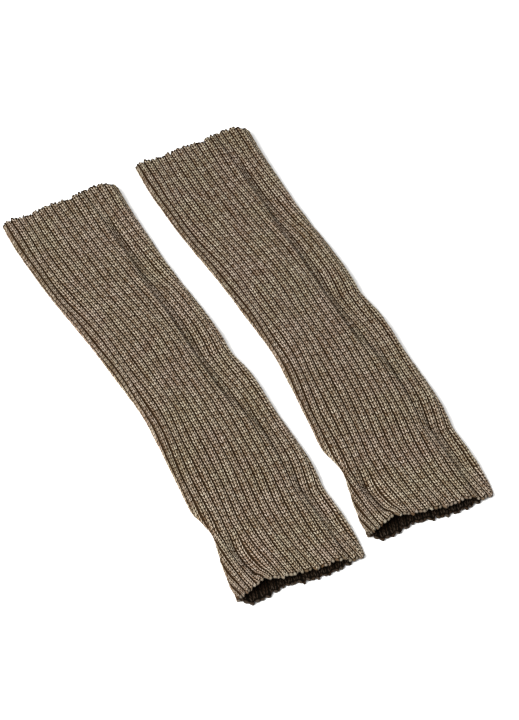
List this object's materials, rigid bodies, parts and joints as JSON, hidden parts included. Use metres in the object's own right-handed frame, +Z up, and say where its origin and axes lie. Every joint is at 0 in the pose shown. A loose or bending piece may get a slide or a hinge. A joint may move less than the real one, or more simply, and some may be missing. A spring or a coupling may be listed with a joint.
{
  "type": "pair of leg warmers",
  "caption": "Open-ended ribbed knit tubes for the lower legs, lying flat side by side, with soft folds and one mouth standing slightly open.",
  "frame": {"origin": "on the ground, under the middle of the pair's bounding box", "axes": "+Y along the two tubes from the near mouths to the far ones, +X across the pair from the left one to the right one, +Z up from the ground"},
  "size_m": [0.215, 0.4076, 0.0112],
  "materials": {
    "rib_knit": "matt taupe rib knit in a soft twisted yarn"
  },
  "bodies": {
    "root": {"leg_warmer_left": "rib_knit", "leg_warmer_right": "rib_knit"}
  },
  "joints": []
}
